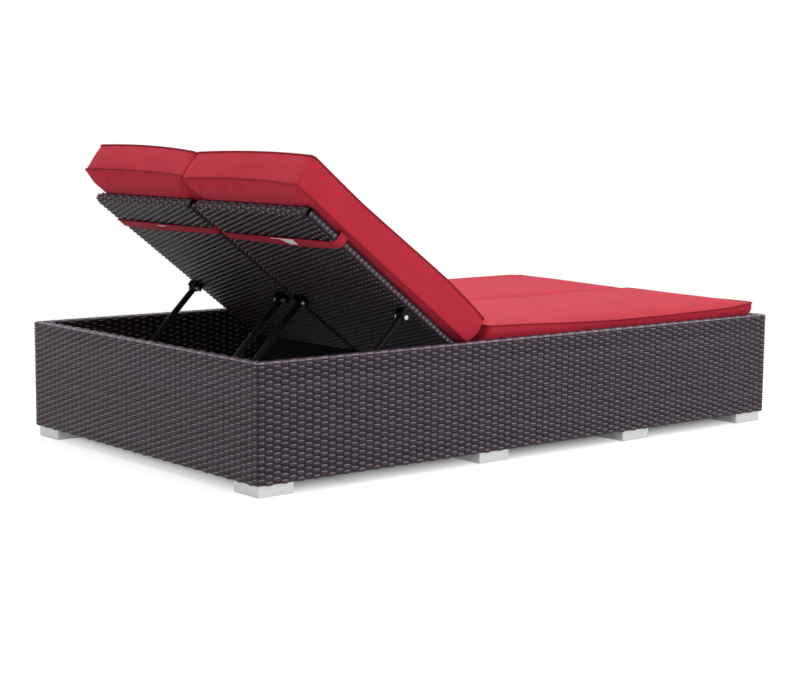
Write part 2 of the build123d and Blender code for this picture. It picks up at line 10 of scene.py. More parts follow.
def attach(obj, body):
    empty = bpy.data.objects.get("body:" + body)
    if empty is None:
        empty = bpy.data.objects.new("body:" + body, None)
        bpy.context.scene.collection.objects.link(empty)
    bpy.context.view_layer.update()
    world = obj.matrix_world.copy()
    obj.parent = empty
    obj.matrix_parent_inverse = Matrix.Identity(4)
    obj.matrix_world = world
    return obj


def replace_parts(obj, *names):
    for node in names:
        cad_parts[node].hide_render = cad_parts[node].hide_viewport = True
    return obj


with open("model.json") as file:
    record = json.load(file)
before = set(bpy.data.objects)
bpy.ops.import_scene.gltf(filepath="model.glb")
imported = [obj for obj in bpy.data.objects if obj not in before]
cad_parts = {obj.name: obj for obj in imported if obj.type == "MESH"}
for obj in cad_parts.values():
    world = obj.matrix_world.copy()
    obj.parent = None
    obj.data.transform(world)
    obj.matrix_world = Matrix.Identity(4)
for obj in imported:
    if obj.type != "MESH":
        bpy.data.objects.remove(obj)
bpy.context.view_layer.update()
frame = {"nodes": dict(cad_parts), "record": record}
scene = bpy.context.scene
MM = 0.001
SIDES = (("left", 1), ("right", -1))

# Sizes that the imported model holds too, in metres
HALF_WIDTH, HALF_LENGTH, RIM_HEIGHT = 0.5825, 1.0, 0.346
WALL = 0.036
FOOT_HEIGHT, DECK_HEIGHT, FLOOR_RAIL_TOP = 0.032, 0.288, 0.060
WELL_X, WELL_Y, DECK_END = 0.5465, 0.964, 0.200
RECLINE = math.radians(37.3)
HINGE_Y, HINGE_Z = 0.2235, 0.274
BACK_RADIUS, BACK_IN_X, BACK_OUT_X, BACK_REACH = 0.014, 0.009, 0.537, 0.7285
SLOPE = np.array([0, math.cos(RECLINE), math.sin(RECLINE)])
NORMAL = np.array([0, -math.sin(RECLINE), math.cos(RECLINE)])
ACROSS = np.array([1.0, 0, 0])
HINGE = np.array([0, HINGE_Y, HINGE_Z])


# Meshes

class Soup:
    """Gathers many small shells into one mesh, with values on its points."""

    def __init__(self):
        self.points, self.faces, self.values, self.count = [], [], {}, 0

    def add(self, points, faces, **values):
        self.points.append(points)
        self.faces.extend((np.array(f) + self.count).tolist() for f in faces)
        for name, value in values.items():
            self.values.setdefault(name, []).append(np.broadcast_to(value, len(points)))
        self.count += len(points)

    def build(self, name, material, smooth=True):
        mesh = new_mesh(name, np.concatenate(self.points), self.faces)
        if smooth:
            mesh.shade_smooth()
        for key, parts in self.values.items():
            put_values(mesh, key, "FLOAT", "POINT", np.concatenate(parts).astype(np.float32))
        if "strand_side" in self.values:
            marks = np.abs(np.concatenate(self.values["strand_side"]))[edge_ends(mesh)]
            put_values(mesh, "sharp_edge", "BOOLEAN", "EDGE", marks.min(1) > 0.99)
        mesh.materials.append(material)
        return new_object(name, mesh)


def new_mesh(name, points, faces):
    mesh = bpy.data.meshes.new(name)
    mesh.from_pydata(points.tolist(), [], faces)
    return mesh


def new_object(name, data):
    made = bpy.data.objects.new(name, data)
    scene.collection.objects.link(made)
    return made


def get_values(items, key, width=3, kind=float):
    values = np.empty(len(items) * width, kind)
    items.foreach_get(key, values)
    return values.reshape(-1, width)


def put_values(mesh, name, kind, domain, values):
    mesh.attributes.new(name, kind, domain).data.foreach_set("value", values)


def edge_ends(mesh):
    return get_values(mesh.edges, "vertices", 2, np.int32)


def tube_faces(rings, corners, closed):
    """Faces of a tube of rings, with a cap at each end of an open one."""
    ring = np.arange(rings if closed else rings - 1)[:, None] * corners
    after = (ring + corners) % (rings * corners)
    corner = np.arange(corners)[None, :]
    turn = (corner + 1) % corners
    quads = np.stack([ring + corner, after + corner, after + turn, ring + turn], -1)
    faces = quads.reshape(-1, 4).tolist()
    if not closed:
        last = (rings - 1) * corners
        faces.append(list(range(corners)))
        faces.append([last + c for c in reversed(range(corners))])
    return faces


def grid_faces(rows, columns, first=0, flip=False):
    a = first + np.arange(rows - 1)[:, None] * columns + np.arange(columns - 1)[None, :]
    faces = np.stack([a, a + 1, a + columns + 1, a + columns], -1).reshape(-1, 4)
    return (faces[:, ::-1] if flip else faces).tolist()


def unit(vectors):
    return vectors / np.linalg.norm(vectors, axis=1, keepdims=True)


def clip(values):
    return np.clip(values, 0, 1)


# Weave: rows of flat-oval strands that pass before and behind upright stakes

ROW_PITCH = 8.0 * MM
SIDE_STAKE, END_STAKE, BACK_STAKE = 0.025, HALF_WIDTH / 23, 22.6 * MM
STRAND_THICK, STRAND_WIDTH = 2.8 * MM, 8.6 * MM
# How much wider a strand is before a stake, and the share that it loses where it crosses
STRAND_SWELL, STRAND_NIP = 2.4 * MM, 0.30
# A strand's swing in and out, its peaks' height over the plain skin, and how flat it runs there
WAVE, PEAK, FLATNESS = 1.15 * MM, 0.5 * MM, 2.1
# A strand's section as (place, depth), and the mark of each of its points
SECTION = np.array([(-0.5, -1), (-0.27, -0.27), (-0.05, 0), (0.05, 0), (0.27, -0.27), (0.5, -1)])
SECTION_FACE = np.array([-1.0, -0.55, -0.1, 0.1, 0.55, 1.0])
STAKE_MARKS = np.array([0.0, 0.15, 0.5, 0.85])
END_FADE = 0.3
# How far rows drift along and up, and how fast: along a wall, along a backrest, and up a wall
DRIFT, RISE = 0.02, 0.25 * MM
WALL_PACE, BACK_PACE, RISE_PACE = 5, 11, 9
TONE_RUN = 7.3
BACKING_DEPTH = 3.95 * MM

# A skin's run over its wall: up the outside, round the rim, over the top and round again
RIM_ROUND, CORNER_ROUND = 6 * MM, 3.5 * MM
RIM_BASE = RIM_HEIGHT - RIM_ROUND
TOP_FLAT = WALL - 2 * RIM_ROUND
OUTER_RISE = RIM_BASE - FOOT_HEIGHT
RIM_ARC = RIM_ROUND * math.pi / 2
RIM_START = OUTER_RISE + RIM_ARC
SHELL_RUN = OUTER_RISE + 2 * RIM_ARC + TOP_FLAT


def stake_marks(low, high, stake, shift=0.0):
    """Places along a row, four to a stake: where it crosses between stakes, and over each stake."""
    first, last = math.floor(low / stake) - 1, math.ceil(high / stake) + 1
    marks = ((np.arange(first, last)[:, None] + STAKE_MARKS + shift) * stake).ravel()
    return marks[(marks > low) & (marks < high)]


def sway(amount, places, pace, draw):
    """A slow wave along a row, from a random start."""
    return amount * np.sin(places * pace + 6.28 * draw.random())


def strand(soup, points, out, side, phase, fade, tone, rim):
    """One strand along its points, before a stake at a phase of 0.5 and behind one at 1.5. rim is
    1 where it lies on an outer edge, and 0 on flat parts."""
    peak = np.sin(np.pi * phase) * fade
    swing = np.clip(FLATNESS * np.sin(np.pi * phase), -1, 1) * fade
    offset = PEAK + WAVE * (swing - 1)
    wide = STRAND_WIDTH * (1 - STRAND_NIP * (1 - np.abs(swing))) + STRAND_SWELL * swing
    section, mark = SECTION, SECTION_FACE
    travel = points[1] - points[0]
    if np.dot(np.cross(side[0], out[0]), travel) > 0:
        section, mark = SECTION[::-1], SECTION_FACE[::-1]
    rings = (
        points[:, None, :]
        + out[:, None, :] * (offset[:, None, None] + section[None, :, 1:2] * STRAND_THICK)
        + side[:, None, :] * (section[None, :, 0:1] * wide[:, None, None])
    )
    run = np.concatenate([[0], np.cumsum(np.linalg.norm(np.diff(points, axis=0), axis=1))])
    corners = len(section)
    soup.add(
        rings.reshape(-1, 3),
        tube_faces(len(points), corners, False),
        strand_tone=tone,
        strand_side=np.tile(mark, len(points)),
        strand_run=np.repeat(run, corners) + TONE_RUN * tone,
        strand_lift=np.repeat(swing, corners),
        strand_peak=np.repeat(peak, corners),
        strand_rim=np.repeat(np.broadcast_to(rim, len(points)), corners),
    )


def wall_profile(run):
    """Inset, height and outward direction of a wall's skin at a run up from its lower edge."""
    if run < OUTER_RISE:
        return 0, FOOT_HEIGHT + run, (1, 0)
    run -= OUTER_RISE
    if run < RIM_ARC:
        sin, cos = math.sin(run / RIM_ROUND), math.cos(run / RIM_ROUND)
        return RIM_ROUND * (1 - cos), RIM_BASE + RIM_ROUND * sin, (cos, sin)
    run -= RIM_ARC
    if run < TOP_FLAT:
        return RIM_ROUND + run, RIM_HEIGHT, (0, 1)
    run -= TOP_FLAT
    if run < RIM_ARC:
        sin, cos = math.sin(run / RIM_ROUND), math.cos(run / RIM_ROUND)
        return WALL - RIM_ROUND * (1 - sin), RIM_BASE + RIM_ROUND * cos, (-sin, cos)
    run -= RIM_ARC
    return WALL, RIM_BASE - run, (-1, 0)


def wall_path(inset, height, out, low, high, stake, half, turn):
    """Points and directions of a row along a wall, in the wall's own axes: along, outward, up.
    Where the row ends at a corner of the base, it turns by half of the corner's round."""
    marks = stake_marks(low, high, stake)
    start, stop = (CORNER_ROUND + 0.4 * MM if bends else MM for bends in turn)
    marks = marks[(marks > low + start) & (marks < high - stop)]
    along, outward, lean = [marks], [np.zeros(len(marks))], [np.zeros(len(marks))]
    for end, bends, sign in ((low, turn[0], -1), (high, turn[1], 1)):
        if bends and inset < RIM_ROUND:
            angles = np.radians([0, 22.5, 45])
            place = sign * (abs(end) - CORNER_ROUND * (1 - np.sin(angles)))
            drop = CORNER_ROUND * (np.cos(angles) - 1)
            lean_here = sign * angles
        else:
            place, drop, lean_here = np.array([end]), np.zeros(1), np.zeros(1)
        for parts, part in ((along, place), (outward, drop), (lean, lean_here)):
            parts.insert(0 if sign < 0 else len(parts), part[::sign])
    along, outward, lean = map(np.concatenate, (along, outward, lean))
    even = np.ones(len(along))
    points = np.stack([along, half - inset + outward, even * height], -1)
    facing = np.stack([np.sin(lean) * out[0], np.cos(lean) * out[0], even * out[1]], -1)
    upward = np.stack([-np.sin(lean) * out[1], -np.cos(lean) * out[1], even * out[0]], -1)
    return points, facing, upward


def place_wall(vectors, way, turned):
    """From a wall's own axes to the object's. A turned wall is an end, and way is its side."""
    along, outward, up = vectors.T
    return np.stack([along, way * outward, up] if turned else [way * outward, along, up], -1)


def weave_wall(name, way, turned, stake, inner_spans, seed):
    """The woven skin of one side or end, row by row: up the outside, over the rim, down inside.
    Inner spans are (lowest height, low end, high end) of the inside faces."""
    half, reach = (HALF_LENGTH, HALF_WIDTH) if turned else (HALF_WIDTH, HALF_LENGTH)
    draw = np.random.default_rng(seed)
    shell, well, shade_sheet = Soup(), Soup(), Soup()
    whole = SHELL_RUN + RIM_HEIGHT - RIM_ROUND - min(span[0] for span in inner_spans)
    for row in range(int(whole / ROW_PITCH)):
        run = (row + 0.5) * ROW_PITCH
        inset, height, out = wall_profile(run)
        soup, spans = shell, [(inset - reach, reach - inset, (True, True))]
        if run > SHELL_RUN:
            soup, edge = well, height - ROW_PITCH / 2
            spans = [(a, b, (False, False)) for bottom, a, b in inner_spans if edge > bottom]
        tone = draw.random()
        rim = 0
        if run > RIM_START - 0.5 * RIM_ARC:
            rim = max(1 - max(run - RIM_START, 0) / ROW_PITCH, 0)
        for low, high, turn in spans:
            points, facing, upward = wall_path(inset, height, out, low, high, stake, half, turn)
            ends = np.minimum(points[:, 0] - low, high - points[:, 0])
            fade = clip(ends / (END_FADE * stake))
            points[:, 2] += sway(RISE, points[:, 0], RISE_PACE, draw) * (abs(out[0]) > 0.5)
            phase = points[:, 0] / stake + row + sway(DRIFT, points[:, 0], WALL_PACE, draw)
            placed = (place_wall(v, way, turned) for v in (points, facing, upward))
            strand(soup, *placed, phase, fade, tone, rim)
    pieces = [shell.build(name, weave), well.build(f"{name}_inside", weave_dim)]
    # A dark sheet under the skin, and one inside each inner face: painted shade seen between the
    # strands
    spots = np.concatenate([
        [0, OUTER_RISE], OUTER_RISE + RIM_ARC * np.array([0.33, 0.67, 1]),
        RIM_START + TOP_FLAT + RIM_ARC * np.array([0, 0.33, 0.67, 1]),
    ])
    lines = []
    for run in spots:
        inset, height, out = wall_profile(run)
        across = half - inset - out[0] * BACKING_DEPTH
        end = reach - inset - abs(out[0]) * BACKING_DEPTH
        lines += [(x, across, height - out[1] * BACKING_DEPTH) for x in (-end, end)]
    shade_sheet.add(place_wall(np.array(lines), way, turned), grid_faces(len(spots), 2))
    across = half - WALL + BACKING_DEPTH
    for bottom, a, b in inner_spans:
        corners = np.array([(x, across, z) for z in (RIM_BASE, bottom) for x in (a, b)])
        shade_sheet.add(place_wall(corners, way, turned), grid_faces(2, 2))
    return pieces + [shade_sheet.build(f"{name}_backing", weave_shadow, smooth=False)]


# Covers of the backrests: along is up the slope from the hinge, and up is off the panel

BACK_MID_X = (BACK_IN_X + BACK_OUT_X) / 2
HALF_FLAT = (BACK_OUT_X - BACK_IN_X) / 2 - BACK_RADIUS
# The cover reaches a little past the frame at its head end, and is rolled thicker there
BACK_TOP = BACK_REACH + 9 * MM - BACK_RADIUS
HEAD_ROLL = 5 * MM
BACK_OVERLAP = 17 * MM
BACK_ARC = math.pi * BACK_RADIUS
CORNER_SHARE = 0.6


def back_point(x, along, up):
    outer = np.multiply.outer
    return HINGE + outer(x, ACROSS) + outer(along, SLOPE) + outer(up, NORMAL)


def back_section(runs, radius):
    """x, up and the outward direction at runs round a backrest's section, from the middle of its
    underside. The section is a flat bar with round edges."""
    sign = np.where(runs < 0, -1.0, 1.0)
    far = np.abs(runs)
    angle = np.clip((far - HALF_FLAT) / BACK_RADIUS, 0, math.pi)
    over = np.clip(far - HALF_FLAT - BACK_ARC, 0, None)
    x = np.minimum(far, HALF_FLAT) + radius * np.sin(angle) - over
    return BACK_MID_X + sign * x, -radius * np.cos(angle), sign * np.sin(angle), -np.cos(angle)


def back_length(run, radius):
    """Where a run up the underside of a backrest is, round both of its short edges: along, up,
    and the angle that it has turned by."""
    beyond = run - BACK_TOP if run > BACK_TOP else min(run, 0)
    angle = max(min(beyond / BACK_RADIUS, math.pi), -math.pi)
    over = math.copysign(max(abs(beyond) - BACK_ARC, 0), beyond)
    along = min(max(run, 0), BACK_TOP) + radius * math.sin(angle) - over
    swollen = HEAD_ROLL * (1 - math.cos(angle)) / 2 if angle > 0 else 0
    return along, swollen - radius * math.cos(angle), angle


def cover_back(side, way, seed):
    """The woven cover behind a backrest. Each row runs across, and on round both long edges."""
    draw = np.random.default_rng(seed)
    soup = Soup()
    reach = HALF_FLAT + BACK_ARC + BACK_OVERLAP
    runs = stake_marks(-reach, reach, BACK_STAKE, 0.5)
    edge = BACK_ARC + BACK_OVERLAP
    first, last = math.ceil(-edge / ROW_PITCH), math.floor((BACK_TOP + edge) / ROW_PITCH)
    mirror, count = (way, 1, 1), len(runs)
    for row in range(first, last + 1):
        along, level, angle = back_length(row * ROW_PITCH, BACK_RADIUS)
        x, up, out_x, out_up = back_section(runs, BACK_RADIUS)
        keep = np.ones(count, bool)
        if angle:
            keep = np.abs(runs) <= HALF_FLAT + BACK_RADIUS * abs(math.sin(angle)) * CORNER_SHARE
            x, up = BACK_MID_X + runs, np.full(count, level)
            facing = np.tile(SLOPE * math.sin(angle) - NORMAL * math.cos(angle), (count, 1))
            sideways = np.tile(SLOPE * math.cos(angle) + NORMAL * math.sin(angle), (count, 1))
            rim = np.full(count, abs(math.sin(angle)))
        else:
            facing = out_x[:, None] * ACROSS + out_up[:, None] * NORMAL
            sideways = np.tile(SLOPE, (count, 1))
            rim = clip(np.abs(out_x) * 1.5 - 0.5)
        spots = back_point(x, along, up)[keep]
        phase = runs / BACK_STAKE + row + 0.5 + sway(DRIFT, runs, BACK_PACE, draw)
        ends = np.minimum(runs[keep] - runs[keep][0], runs[keep][-1] - runs[keep])
        fade = clip(ends / (END_FADE * BACK_STAKE))
        facing, sideways = facing[keep] * mirror, sideways[keep] * mirror
        strand(soup, spots * mirror, facing, sideways, phase[keep], fade, draw.random(), rim[keep])
    return soup.build(f"weave_back_{side}", weave_back)


def back_shade_sheet(side, way):
    """A dark sheet inside a backrest's cover: painted shade seen between the strands."""
    soup = Soup()
    radius = BACK_RADIUS - BACKING_DEPTH
    bends = np.linspace(0, math.pi, 9) * BACK_RADIUS + HALF_FLAT
    x, up, _, _ = back_section(np.concatenate([-bends[::-1], bends]), radius)
    shell = [back_point(x, along, up) for along in (0, BACK_TOP)]
    soup.add(np.concatenate(shell) * (way, 1, 1), grid_faces(2, len(x)))
    for first, sign in ((0, -1), (BACK_TOP, 1)):
        lines = []
        for turn in np.linspace(0, math.pi, 9):
            along, level, _ = back_length(first + sign * turn * BACK_RADIUS, radius)
            corner = radius * CORNER_SHARE * math.sin(turn)
            ends = BACK_MID_X + np.array([-1, 1]) * (HALF_FLAT + corner)
            lines.append(back_point(ends, along, level))
        soup.add(np.concatenate(lines) * (way, 1, 1), grid_faces(len(lines), 2))
    return soup.build(f"weave_back_{side}_backing", weave_shadow, smooth=False)


# Materials

def shader(name):
    material = bpy.data.materials.new(name)
    material.use_nodes = True
    return material, material.node_tree, material.node_tree.nodes["Principled BSDF"]


def is_link(value):
    return hasattr(value, "is_output")


def node(kind, inputs=(), tree=None, **settings):
    """A new node in the given tree, or else in the tree of what feeds it."""
    inputs = dict(inputs)
    tree = tree or next(value.id_data for value in inputs.values() if is_link(value))
    made = tree.nodes.new(f"ShaderNode{kind}")
    for key, value in settings.items():
        setattr(made, key, value)
    return feed(made, inputs)


def feed(made, inputs):
    for key, value in inputs.items():
        if is_link(value):
            made.id_data.links.new(value, made.inputs[key])
        else:
            made.inputs[key].default_value = value
    return made


def math_node(operation, a, b=0.0):
    return node("Math", {0: a, 1: b}, operation=operation).outputs[0]


def times(a, b):
    return math_node("MULTIPLY", a, b)


def plus(a, b):
    return math_node("ADD", a, b)


def blend(a, b, share):
    return plus(times(a, share), times(b, 1 - share))


def sine_of(value, pace):
    return math_node("SINE", times(value, pace))


def fit(value, span=(0, 1), to=(0, 1)):
    """A value moved from one span to another, and held inside it."""
    spans = {"From Min": span[0], "From Max": span[1], "To Min": to[0], "To Max": to[1]}
    return node("MapRange", {"Value": value, **spans}).outputs[0]


def vector_node(operation, a, b):
    return node("VectorMath", {0: a, 1: b}, operation=operation).outputs[0]


def ramp(value, stops):
    made = node("ValToRGB", {"Fac": value})
    elements = made.color_ramp.elements
    for number, (place, colour) in enumerate(stops):
        element = elements[number] if number < 2 else elements.new(place)
        element.position, element.color = place, (*colour, 1)
    return made.outputs["Color"]


def uneven(value, colour, lower, upper):
    """A colour that varies between two multiples of itself."""
    low, high = (tuple(min(c * share, 1) for c in colour) for share in (lower, upper))
    return ramp(value, [(0.3, low), (0.7, high)])


def bump(height, strength, distance):
    made = node("Bump", {"Height": height, "Strength": strength, "Distance": distance})
    return made.outputs["Normal"]


def noise_of(vector, scale, detail=3.0, roughness=0.5):
    inputs = {"Vector": vector, "Scale": scale, "Detail": detail, "Roughness": roughness}
    return node("TexNoise", inputs).outputs["Fac"]


def object_place(tree):
    return node("TexCoord", tree=tree).outputs["Object"]


def finish(body, **inputs):
    """Sets a shader's own values, and links what comes from other nodes."""
    feed(body, {key.replace("_", " "): value for key, value in inputs.items()})


# Painted highlights, pale: along the edge that looks up, before each stake, and on the rim
EDGE_HIGHLIGHT, RIM_HIGHLIGHT = 4.4, 6.0
HIGHLIGHT_EDGE = (0.42, 0.64)
DASHES, DOTS = (0.15, 0.45), (0.5, 0.9)
# grey of the painted highlights
HIGHLIGHT_GREY = (0.031, 0.0250, 0.030)
RESIN_SHADES = (
    (0.2, (0.021, 0.0120, 0.0190)), (0.5, (0.0375, 0.0230, 0.0350)), (0.8, (0.060, 0.0385, 0.0560)),
)


def weave_material(name, level, highlight_gain=EDGE_HIGHLIGHT, highlight_span=DASHES):
    """Dark resin strand: fine ridges along it, each strand a little different. Painted shade makes it
    darker where it passes behind a stake and where it crosses between stakes, and a pale painted
    highlight lies along its upper edge before each stake and on the rim. The last argument is where
    the painted highlight sets in on the way to a peak."""
    material, tree, body = shader(name)
    run, side, tone, rim, swing, peak = (
        node("Attribute", tree=tree, attribute_name=f"strand_{part}").outputs["Fac"]
        for part in ("run", "side", "tone", "rim", "lift", "peak")
    )
    stretch = {"X": times(run, 22.0), "Y": times(side, 3.2), "Z": times(tone, 40.0)}
    place = node("CombineXYZ", stretch).outputs[0]
    streak = noise_of(place, 1.0, 4.0, 0.6)
    raised = fit(peak, highlight_span)
    # painted highlight: pale along the upper edge of each raised part, and on the rim rows
    edge_highlight = times(raised, fit(side, HIGHLIGHT_EDGE))
    rim_highlight = times(times(rim, fit(raised, to=(0.5, 1))), RIM_HIGHLIGHT)
    bright = times(plus(times(edge_highlight, highlight_gain), rim_highlight), level)
    # painted shade: darker where a strand crosses between stakes and where it passes behind one
    crossing_shade = fit(math_node("ABSOLUTE", swing), (0, 0.8), (0.45, 1))
    lift = times(fit(swing, (-0.6, 0.9), (0.5, 1)), crossing_shade)
    shades = [(stop, tuple(c * level for c in shade)) for stop, shade in RESIN_SHADES]
    colour = vector_node("MULTIPLY", ramp(blend(streak, tone, 0.6), shades), lift)
    colour = vector_node("ADD", colour, vector_node("MULTIPLY", HIGHLIGHT_GREY, bright))
    rough = math_node("SUBTRACT", fit(streak, to=(0.30, 0.42)), times(edge_highlight, 0.12))
    height = plus(times(sine_of(side, 16.0), 0.5), streak)
    finish(body, Base_Color=colour, Roughness=rough, Normal=bump(height, 0.35, 0.0004))
    finish(body, Specular_IOR_Level=0.22 * level)
    return material


def plain_material(name, colour, roughness, metallic=0.0, spread=0.25, specular=0.5):
    """A finish with fine speckle in its colour, gloss and surface."""
    material, tree, body = shader(name)
    place = object_place(tree)
    fine, broad = noise_of(place, 220.0), noise_of(place, 14.0)
    mixed = blend(fine, broad, 0.5)
    colour = uneven(mixed, colour, 1 - spread, 1 + spread)
    rough = fit(mixed, to=(roughness - 0.08, roughness + 0.08))
    finish(body, Base_Color=colour, Roughness=rough, Normal=bump(fine, 0.3, 0.0002))
    finish(body, Metallic=metallic, Specular_IOR_Level=specular)
    return material


def brushed_material(name, colour, roughness, axis):
    """Metal with fine lines drawn along one axis."""
    material, tree, body = shader(name)
    scale = [260.0, 260.0, 260.0]
    scale[axis] = 6.0
    place = node("Mapping", {"Vector": object_place(tree), "Scale": scale}).outputs[0]
    lines = noise_of(place, 1.0, 2.0)
    finish(body, Base_Color=uneven(lines, colour, 0.9, 1.06))
    finish(body, Metallic=0.35, Roughness=roughness, Normal=bump(lines, 0.15, 0.0002))
    return material


def woven_surface(name, tilt):
    """The same weave as a surface, for flat covers under the cushions."""
    material, tree, body = shader(name)
    turn = {"Vector": object_place(tree), "Center": (0, HINGE_Y, HINGE_Z), "Angle": -tilt}
    place = node("VectorRotate", turn, rotation_type="X_AXIS").outputs[0]
    parts = node("SeparateXYZ", {"Vector": place}).outputs
    rows = math_node("DIVIDE", parts["Y"], ROW_PITCH)
    parity = math_node("MODULO", math_node("FLOOR", plus(rows, 1000.0)), 2.0)
    stakes = plus(math_node("DIVIDE", parts["X"], SIDE_STAKE), parity)
    crown = math_node("ABSOLUTE", sine_of(rows, math.pi))
    height = plus(times(sine_of(stakes, math.pi), 0.5), crown)
    # Darker in the low parts, between rows and behind stakes: painted shade
    shades = [(0.1, (0.012, 0.01, 0.011)), (0.9, (0.07, 0.058, 0.063))]
    finish(body, Base_Color=ramp(times(height, 0.66), shades))
    finish(body, Roughness=0.45, Normal=bump(height, 0.8, 0.0022))
    return material


def cloth_material(name, colour, sheen, thread=0.0009, wash=0.12):
    """Plain woven cloth: crossing threads, faint slubs and an uneven dye."""
    material, tree, body = shader(name)
    place = object_place(tree)
    parts = node("SeparateXYZ", {"Vector": place}).outputs
    warp = sine_of(parts["X"], math.tau / thread)
    weft = sine_of(plus(parts["Y"], parts["Z"]), math.tau / thread)
    slub, broad = noise_of(place, 420.0, 2.0), noise_of(place, 5.0, 3.0)
    dye = uneven(blend(slub, broad, 0.35), colour, 1 - wash, 1 + wash)
    height = plus(times(times(warp, weft), 0.5), slub)
    finish(body, Base_Color=dye, Roughness=0.85, Specular_IOR_Level=0.2)
    finish(body, Sheen_Weight=sheen, Sheen_Roughness=0.45, Sheen_Tint=(1.0, 0.62, 0.68, 1))
    finish(body, Normal=bump(height, 0.35, 0.00025))
    return material


RED = (0.47, 0.019, 0.038)
weave = weave_material("woven_resin", 1.0)
# Darker copies for the backrests' undersides and the inside of the base: painted shade, with stronger
# painted highlight dots
weave_back = weave_material("woven_resin_back", 0.46, 11.5, DOTS)
weave_dim = weave_material("woven_resin_inside", 0.34, 28.0, DOTS)
weave_shadow = plain_material("weave_shadow", (0.010, 0.008, 0.009), 0.8)
front_weave = woven_surface("woven_front", RECLINE)
cushion_cloth = cloth_material("cushion_cloth", RED, 0.1)
# The piping is the cushion's own cloth made darker: painted shade along the seams
shaded_piping_cloth = cloth_material("shaded_piping_cloth", tuple(c * 0.6 for c in RED), 0.05)
strap_cloth = cloth_material("strap_cloth", tuple(c * 0.8 for c in RED), 0.05, thread=0.0016)
label_cloth = cloth_material("label_cloth", (0.80, 0.78, 0.78), 0.05, wash=0.03)

PAINTS = {
    "frame_tube": plain_material("frame_paint", (0.008, 0.007, 0.008), 0.45, specular=0.15),
    "dark_metal": plain_material("black_paint", (0.004, 0.004, 0.0045), 0.32, specular=0.1),
    "bright_steel": plain_material("bright_steel", (0.62, 0.62, 0.63), 0.3, metallic=1.0, spread=0.1),
    "foot_alloy": brushed_material("foot_alloy", (0.70, 0.70, 0.70), 0.45, 0),
    "black_nylon": plain_material("black_nylon", (0.015, 0.015, 0.016), 0.55),
    "woven_resin": woven_surface("woven_deck", 0.0),
    "cushion_fabric": cushion_cloth,
    "label_cloth": label_cloth,
}


def paint(name, material):
    mesh = frame["nodes"][name].data
    mesh.materials.clear()
    mesh.materials.append(material)


for part in frame["record"]["subparts"]:
    paint(part["node"], PAINTS[part["material_slot"]])
for side, way in SIDES:
    paint(f"woven_back_front_{side}", front_weave)

# Woven skins of the base: name, side, turned, stake, inner spans, seed
SIDE_SPANS = [(DECK_HEIGHT, -WELL_Y, DECK_END), (FLOOR_RAIL_TOP, DECK_END, WELL_Y)]
WALLS = (
    ("side_left", 1, False, SIDE_STAKE, SIDE_SPANS, 11),
    ("side_right", -1, False, SIDE_STAKE, SIDE_SPANS, 9),
    ("head_end", 1, True, END_STAKE, [(FLOOR_RAIL_TOP, -WELL_X, WELL_X)], 21),
    ("foot_end", -1, True, END_STAKE, [(DECK_HEIGHT, -WELL_X, WELL_X)], 19),
)
for name, *wall in WALLS:
    for number, piece in enumerate(weave_wall(f"weave_{name}", *wall)):
        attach(piece, "base")
        if number == 0:
            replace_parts(piece, f"woven_{name}")

# Woven covers of the backrests
for side, way in SIDES:
    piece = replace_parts(cover_back(side, way, 30 + way), f"woven_back_tray_{side}")
    for part in (piece, back_shade_sheet(side, way)):
        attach(part, f"backrest_{side}")


# Cushions, in their own axes: x outward, y to the head end or up the slope, both from the middle,
# and z up from what they lie on. u and v are x and y before the corners are rounded.

CUSHION_IN_X, CUSHION_OUT_X = 0.001, 0.545
CUSHION_WIDTH = CUSHION_OUT_X - CUSHION_IN_X
CUSHION_MID_X = (CUSHION_IN_X + CUSHION_OUT_X) / 2
SEAT_START, SEAT_END = -0.963, 0.202
SEAT_LENGTH = SEAT_END - SEAT_START
BACK_START, BACK_LENGTH = 0.064, 0.746
LYING_GAP = 0.0003
# Round of the plan's corners, and how far its sides pull in between them
CUSHION_CORNER, CUSHION_PULL, INNER_PULL = 0.011, 0.004, 0.001
GRID_STEP = 0.012
# The top rises fast over its edges and slowly to its middle, by these shares of its crown
EDGE_ROLL, ROLL_POWER, ROLL_SHARE, DOME_SHARE = 0.075, 2.4, 0.68, 0.32
BOX_ROWS, BOX_BULGE = 7, 0.0005
PIPING_RADIUS, PIPING_OUT, PIPING_CORNERS = 0.0022, 0.35, 8
# under: how far in the lying side lifts off. low, high: plain heights of the seams. puff: how far
# pressure may lift the top.
Shape = namedtuple("Shape", "length under low high crown puff")
CUSHIONS = {
    "seat": Shape(SEAT_LENGTH, 0.012, 0.008, 0.095, 0.007, 0.003),
    "back": Shape(BACK_LENGTH, 0.060, 0.020, 0.102, 0.013, 0.007),
}

# Rise of a seat cushion's top seam, in mm: along its outer side from the foot end, and along its
# foot end from the middle of the object. The side that faces the camera sags.
SEAT_SIDE = {
    "left": ([-1, -0.94, -0.83, -0.6, -0.41, 0, 0.5, 1], [-0.4, 1.8, 5.5, 8.3, 9.2, 7, 3, 0]),
    "right": (
        [-1, -0.96, -0.82, -0.58, -0.36, 0, 0.2, 0.4, 0.72, 0.97, 1],
        [-2, -4, -12, -14.5, -16.6, -17.6, -16, -12, -5, -1, 0],
    ),
}
SEAT_FOOT = {
    "left": ([-1, -0.87, -0.63, -0.15, 0.35, 0.72, 0.96, 1], [0.5, 0.8, 3, 6.5, 9.5, 10.5, 12, 10.4]),
    "right": ([-1, -0.65, -0.35, 0.4, 0.9, 1], [4.8, 4.3, 2.6, 0, 1.6, 1]),
}
# A seat cushion leans out at its side and foot end, above the rim, and off the backrest
LEAN_SIDE, LEAN_FOOT, LEAN_HINGE = 0.004, 0.010, 0.018
LEAN_FROM, LEAN_SPAN, LEAN_FULL = 0.058, 0.012, 0.09

